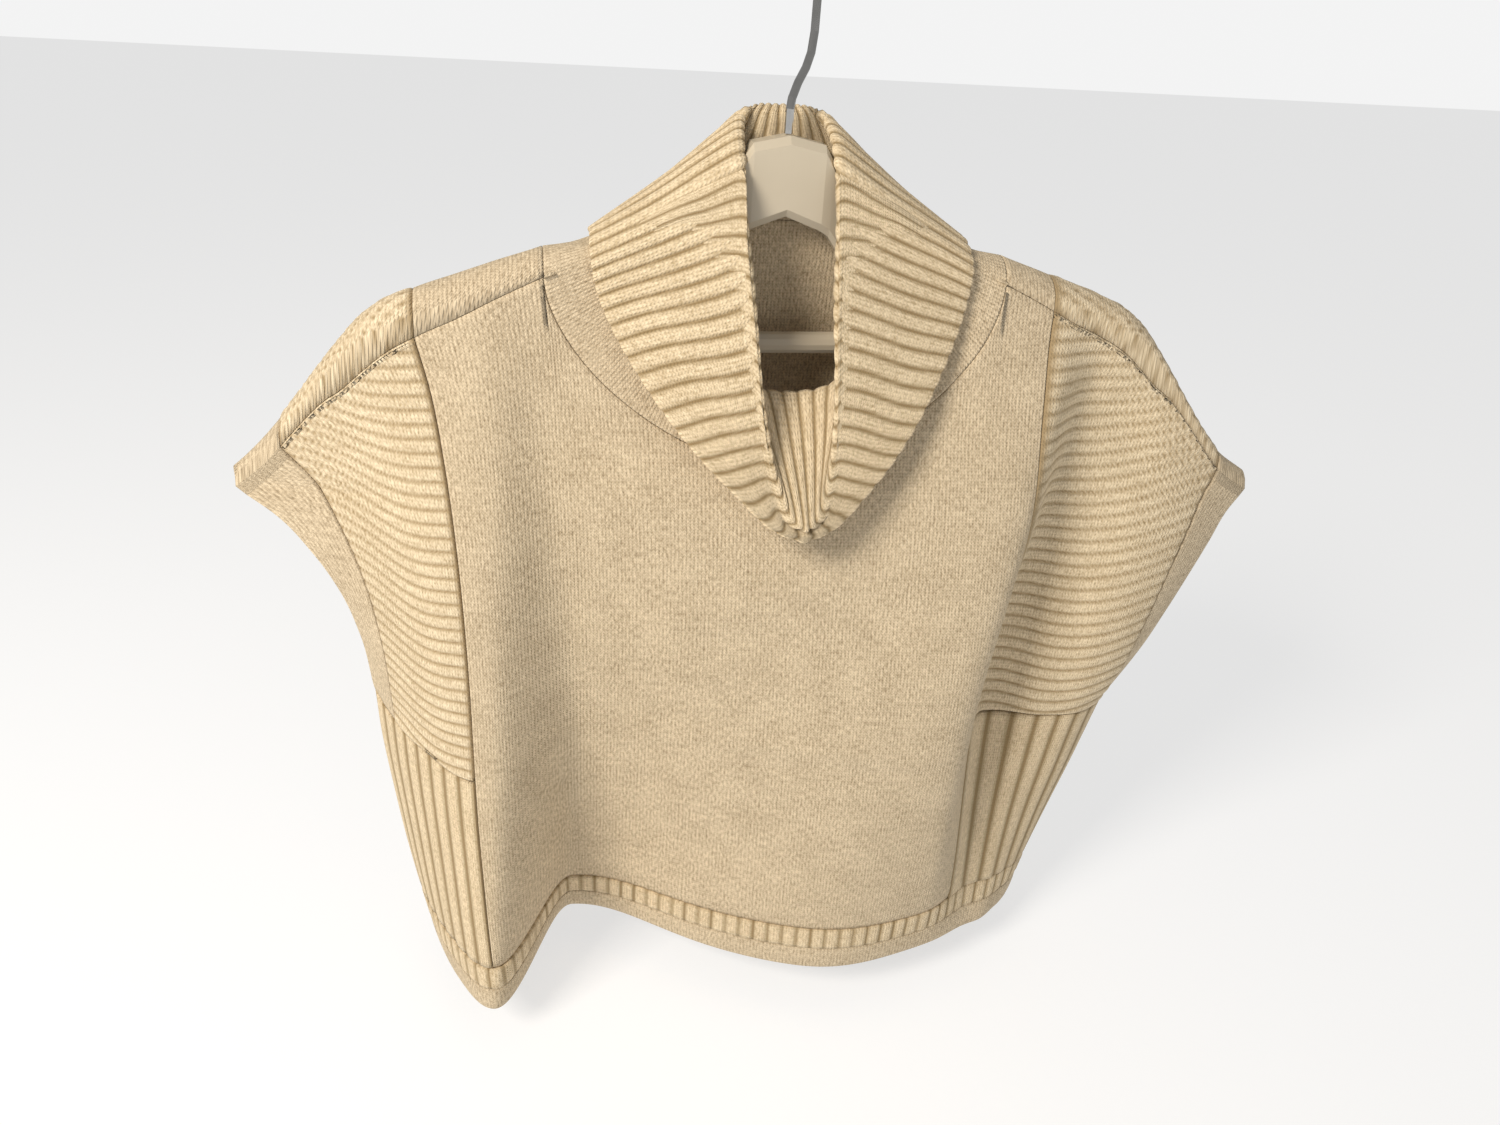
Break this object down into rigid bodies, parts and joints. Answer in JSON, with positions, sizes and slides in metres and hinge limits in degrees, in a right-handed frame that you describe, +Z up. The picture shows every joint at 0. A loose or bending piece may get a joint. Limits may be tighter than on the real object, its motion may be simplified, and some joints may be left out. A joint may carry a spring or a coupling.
{
  "type": "sleeveless turtleneck sweater on a hanger",
  "caption": "Boxy sleeveless turtleneck sweater in fine wool knit with folded rib collar and ridged side inserts, hung on a moulded hanger with a wire hook.",
  "frame": {"origin": "inside the hook's loop, at the point that rests on a rail", "axes": "+Z up along the hanger's stem, +X to the viewer's right along the shoulders, -Y towards the sweater's front"},
  "size_m": [0.602, 0.1602, 0.6085],
  "materials": {
    "plain_knit": "matt fine plain knit",
    "ridged_knit": "matt knit with raised ridges",
    "rib_knit": "matt rib knit",
    "hanger_plastic": "satin moulded ivory",
    "hook_wire": "bright chrome"
  },
  "bodies": {
    "root": {"front_panel": "plain_knit", "back_panel": "plain_knit", "insert_front_left": "ridged_knit", "insert_front_right": "ridged_knit", "insert_back_left": "ridged_knit", "insert_back_right": "ridged_knit", "side_rib_front_left": "rib_knit", "side_rib_front_right": "rib_knit", "side_rib_back_left": "rib_knit", "side_rib_back_right": "rib_knit", "armhole_band_left": "plain_knit", "armhole_band_right": "plain_knit", "neck_band": "plain_knit", "collar": "rib_knit", "hem_rib": "rib_knit", "hem_tube": "plain_knit", "hanger_body": "hanger_plastic", "hanger_bar": "hanger_plastic", "hanger_hook": "hook_wire"}
  },
  "joints": []
}
